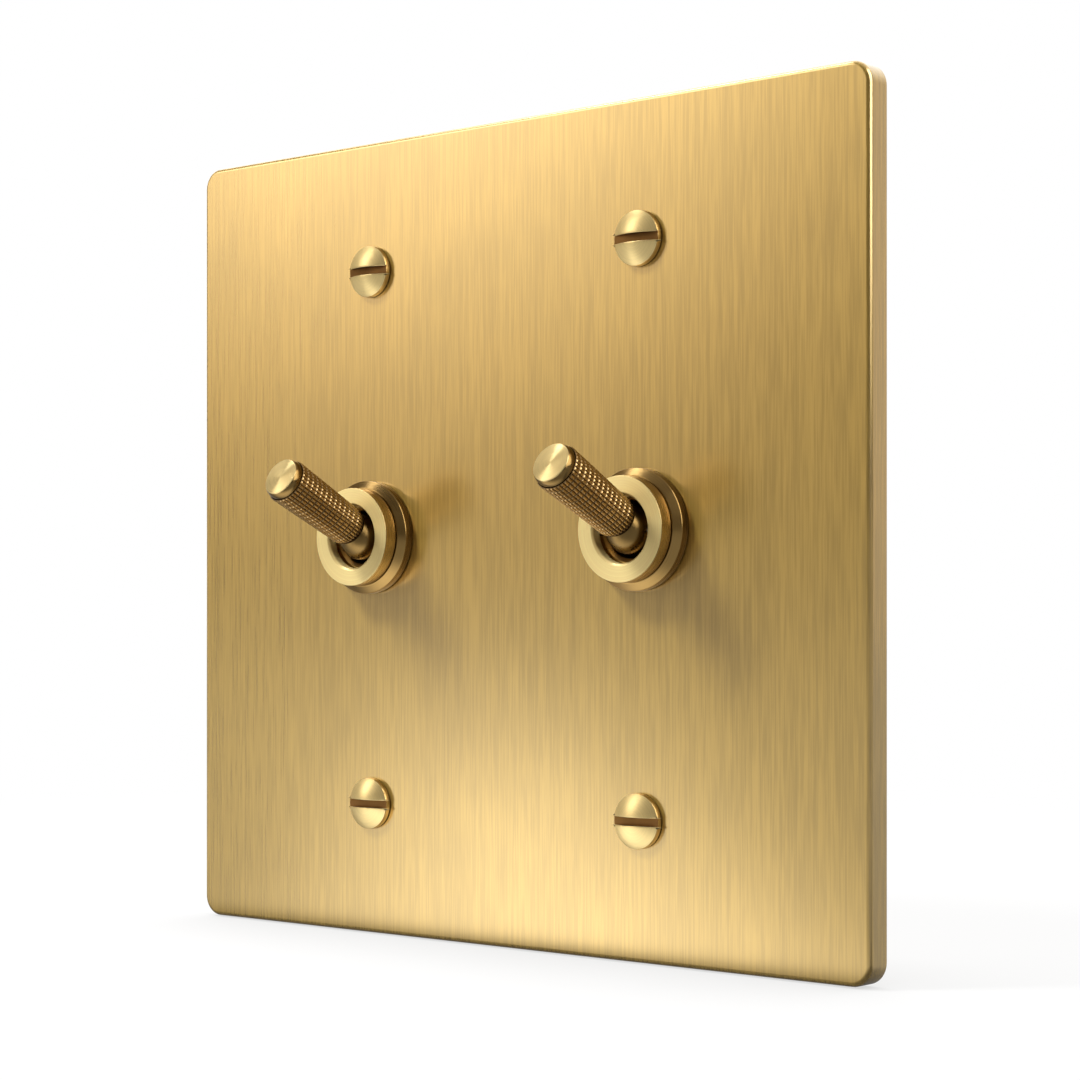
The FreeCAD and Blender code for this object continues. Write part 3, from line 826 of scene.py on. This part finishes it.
class SWITCH_OT_dollies(bpy.types.Operator):
    """Knurled dolly handles with a plain collar and a spun end face"""
    bl_idname = "dolly_switch.dollies"
    bl_label = "Knurled dollies"

    def execute(self, context):
        settings = context.scene.dolly_switch
        sizes = settings.dolly
        knurl_end = sizes.tip - sizes.collar
        knurl = self.knurl(sizes, knurl_end)
        root = sizes.root_radius - sizes.rounding - sizes.knurl_depth
        chamfer = -sizes.tip + 0.00009
        core = turn("core", [
            (0, -sizes.seat + sizes.stud_length), (sizes.stud, -sizes.seat + sizes.stud_length),
            (sizes.stud, -sizes.seat), (root, -sizes.seat), (root, -knurl_end),
            (sizes.collar_radius, -knurl_end), (sizes.collar_radius, -sizes.tip + sizes.taper_length),
            (sizes.collar_radius - 0.4 * sizes.taper, -sizes.tip + 0.4 * sizes.taper_length),
            (sizes.collar_radius - 0.75 * sizes.taper, chamfer),
            (sizes.collar_radius - sizes.taper, -sizes.tip), (0, -sizes.tip)], TURN_STEPS)
        round_edges(core, 0.00002, 1, 42)
        smooth(core, 40)
        wrap_map(core)
        wrap_map(knurl)
        tones = settings.finish
        # Painted light: the knurl and the collar are darkened brass as painted shade, and the end face is lightened
        # brass as a painted highlight.
        finishes = [knurled_brass("knurled_brass", scaled(tones.shade, 0.62), tones.recess_shade, rough=0.18),
                    brass("spun_highlight_brass", scaled(tones.pale_highlight, 0.76), "turn", rough=0.28, stretch=0.9, bump=0.15,
                          turn_by=RADIAL, metal=0.65),
                    brass("collar_shade_brass", scaled(tones.shade, 0.3), "turn", rough=0.2, stretch=0.4, bump=0.1,
                          turn_by=RADIAL)]
        paint(core, finishes, lambda place, r, normal: place.y < chamfer, lambda place, r, normal: True)
        paint(knurl, finishes[:1])
        take(core)
        knurl.select_set(True)
        bpy.ops.object.join()
        for side, x in zip(SIDES, pair(settings.plate.gang_pitch)):
            copy = copy_piece(core, f"{side}_knurled_dolly")
            copy.location = (x, -settings.plate.depth - sizes.pivot, 0)
            copy.rotation_euler = (-sizes.tilt, 0, 0)
            settle(copy)
            fit(copy, f"{side}_lever", "knurled_brass", f"{side}_dolly")
        bpy.data.objects.remove(core, do_unlink=True)
        return {"FINISHED"}

    def knurl(self, sizes, end):
        """Rolled knurl: rings of small squares, each raised in two steps to a blunt point."""
        start_clean()
        base = sizes.root_radius - sizes.knurl_depth
        bpy.ops.mesh.primitive_circle_add(vertices=sizes.around, radius=base, fill_type="NOTHING",
                                          rotation=(math.pi / 2, 0, 0), location=(0, -sizes.seat, 0))
        knurl = named("knurl")
        settle(knurl)
        bpy.ops.object.mode_set(mode="EDIT")
        bpy.ops.mesh.select_all(action="SELECT")
        step = (end - sizes.seat) / sizes.rows
        radius = self.radius_at(sizes, 0, end)
        bpy.ops.transform.resize(value=(radius / base, 1, radius / base), center_override=(0, -sizes.seat, 0))
        for row in range(1, sizes.rows + 1):
            bpy.ops.mesh.extrude_edges_move(TRANSFORM_OT_translate={"value": (0, -step, 0)})
            new_radius = self.radius_at(sizes, row * step, end)
            grow = new_radius / radius
            bpy.ops.transform.resize(value=(grow, 1, grow), center_override=(0, -sizes.seat - row * step, 0))
            radius = new_radius
        bpy.ops.mesh.select_all(action="SELECT")
        bpy.ops.mesh.normals_make_consistent(inside=False)
        bpy.ops.mesh.select_mode(type="FACE")
        bpy.ops.mesh.select_all(action="SELECT")
        for inward, upward in ((0.4, 0.5), (0.6, 0.5)):
            bpy.ops.mesh.inset(thickness=sizes.knurl_land * inward, depth=sizes.knurl_depth * upward,
                               use_individual=True)
        bpy.ops.object.mode_set(mode="OBJECT")
        self.keep_depth(knurl, sizes, end)
        take(knurl)
        bpy.ops.object.shade_smooth_by_angle(angle=math.radians(20))
        return knurl

    def radius_at(self, sizes, along, end):
        """Radius of the grooves at a distance along the handle, rounded over at the root."""
        share = along / (end - sizes.seat)
        radius = sizes.root_radius + (sizes.tip_radius - sizes.root_radius) * share
        left = max(sizes.rounding - along, 0)
        return radius - sizes.rounding + math.sqrt(sizes.rounding ** 2 - left ** 2) - sizes.knurl_depth

    def keep_depth(self, knurl, sizes, end):
        """Keep on the mesh how deep each point lies in a groove, from 0 on top to 1."""
        kept = knurl.data.attributes.new("groove", "FLOAT", "POINT")
        for point in knurl.data.vertices:
            r = math.hypot(point.co.x, point.co.z)
            floor = self.radius_at(sizes, max(-point.co.y - sizes.seat, 0), end)
            kept.data[point.index].value = min(max(1 - (r - floor) / sizes.knurl_depth, 0), 1)


class SWITCH_OT_rear(bpy.types.Operator):
    """Frames, cases, contacts and terminals behind the plate, with softened edges"""
    bl_idname = "dolly_switch.rear"
    bl_label = "Rear pieces"

    def execute(self, context):
        tones = context.scene.dolly_switch.finish
        finishes = {
            "zinc_steel": plated("zinc_steel", tones.zinc, rough=0.34, scale=120.0, spread=0.06, bump=0.12),
            "case_phenolic": plated("case_phenolic", tones.phenolic, rough=0.42, scale=160.0, spread=0.15,
                                    metallic=0.0, bump=0.25),
            "carriage_plastic": plated("carriage_plastic", tones.ivory, rough=0.45, scale=160.0, spread=0.05,
                                       metallic=0.0),
            "contact_copper": plated("contact_copper", tones.copper, rough=0.3, scale=180.0, spread=0.1),
            "terminal_brass": plated("terminal_brass", tones.polished, rough=0.3, scale=180.0, spread=0.08),
            "terminal_screw_steel": plated("terminal_screw_steel", tones.steel, rough=0.3, scale=200.0, spread=0.08),
        }
        pieces = (("frame", "base", "zinc_steel", 0.00018), ("case", "base", "case_phenolic", 0.00025),
                  ("carriage", "slider", "carriage_plastic", 0.00015),
                  ("bridge_contact", "slider", "contact_copper", 0.00006),
                  ("upper_terminal", "base", "terminal_brass", 0.00018),
                  ("common_terminal", "base", "terminal_brass", 0.00018),
                  ("lower_terminal", "base", "terminal_brass", 0.00018),
                  ("terminal_screws", "base", "terminal_screw_steel", 0.00008))
        for side in SIDES:
            for node, body, slot, width in pieces:
                body = body if body == "base" else f"{side}_{body}"
                copy = self.softened(f"{side}_{node}", width)
                paint(copy, [finishes[slot]])
                fit(copy, body, slot, f"{side}_{node}")
        return {"FINISHED"}

    def softened(self, node, width):
        """Copy of a CAD node with its loose triangles joined and its edges rounded."""
        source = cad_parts[node]
        piece = bpy.data.objects.new(f"{node}_softened", source.data.copy())
        bpy.context.scene.collection.objects.link(piece)
        take(piece)
        bpy.ops.mesh.customdata_custom_splitnormals_clear()
        bpy.ops.object.mode_set(mode="EDIT")
        bpy.ops.mesh.select_all(action="SELECT")
        bpy.ops.mesh.remove_doubles(threshold=WELD)
        bpy.ops.mesh.dissolve_limited(angle_limit=math.radians(1))
        bpy.ops.object.mode_set(mode="OBJECT")
        round_edges(piece, width, 2, 40)
        smooth(piece, 35)
        return piece


class SWITCH_OT_inner(bpy.types.Operator):
    """Finishes of the balls, bushings, pins and washers that stay as they are"""
    bl_idname = "dolly_switch.inner"
    bl_label = "Inner finishes"

    def execute(self, context):
        tones = context.scene.dolly_switch.finish
        finishes = {
            # Painted shade: the balls are much darkened brass.
            "ball": plated("ball_brass", scaled(tones.shade, 0.28), rough=0.3, scale=260.0, spread=0.08, bump=0.05),
            "bushing": plated("bushing_brass", scaled(tones.polished, 0.9), rough=0.3, scale=240.0, spread=0.1),
            "pivot_pin": plated("pin_steel", tones.steel, rough=0.25, scale=300.0, spread=0.06),
            "lock_washer": plated("washer_zinc", tones.zinc, rough=0.35, scale=200.0, spread=0.08),
        }
        for side in SIDES:
            for node, finish in finishes.items():
                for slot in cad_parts[f"{side}_{node}"].material_slots:
                    slot.material = finish
        return {"FINISHED"}


class SWITCH_PT_panel(bpy.types.Panel):
    """Buttons that build the switch piece by piece"""
    bl_idname = "SWITCH_PT_panel"
    bl_label = "Brass dolly switch"
    bl_space_type = "VIEW_3D"
    bl_region_type = "UI"
    bl_category = "Switch"

    def draw(self, context):
        for operator in OPERATORS:
            self.layout.operator(operator.bl_idname)


OPERATORS = (SWITCH_OT_stage, SWITCH_OT_plate, SWITCH_OT_screws, SWITCH_OT_collars, SWITCH_OT_dollies,
             SWITCH_OT_rear, SWITCH_OT_inner)
CLASSES = (PlateSizes, ScrewSizes, CollarSizes, DollySizes, Finishes, StageSettings, SwitchSettings,
           *OPERATORS, SWITCH_PT_panel)


def register():
    for part in CLASSES:
        bpy.utils.register_class(part)
    bpy.types.Scene.dolly_switch = bpy.props.PointerProperty(name="Switch", type=SwitchSettings)


def unregister():
    del bpy.types.Scene.dolly_switch
    for part in reversed(CLASSES):
        bpy.utils.unregister_class(part)


def main():
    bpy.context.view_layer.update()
    register()
    bpy.ops.dolly_switch.stage()
    bpy.ops.dolly_switch.plate()
    bpy.ops.dolly_switch.screws()
    bpy.ops.dolly_switch.collars()
    bpy.ops.dolly_switch.dollies()
    bpy.ops.dolly_switch.rear()
    bpy.ops.dolly_switch.inner()


if __name__ == "__main__":
    main()
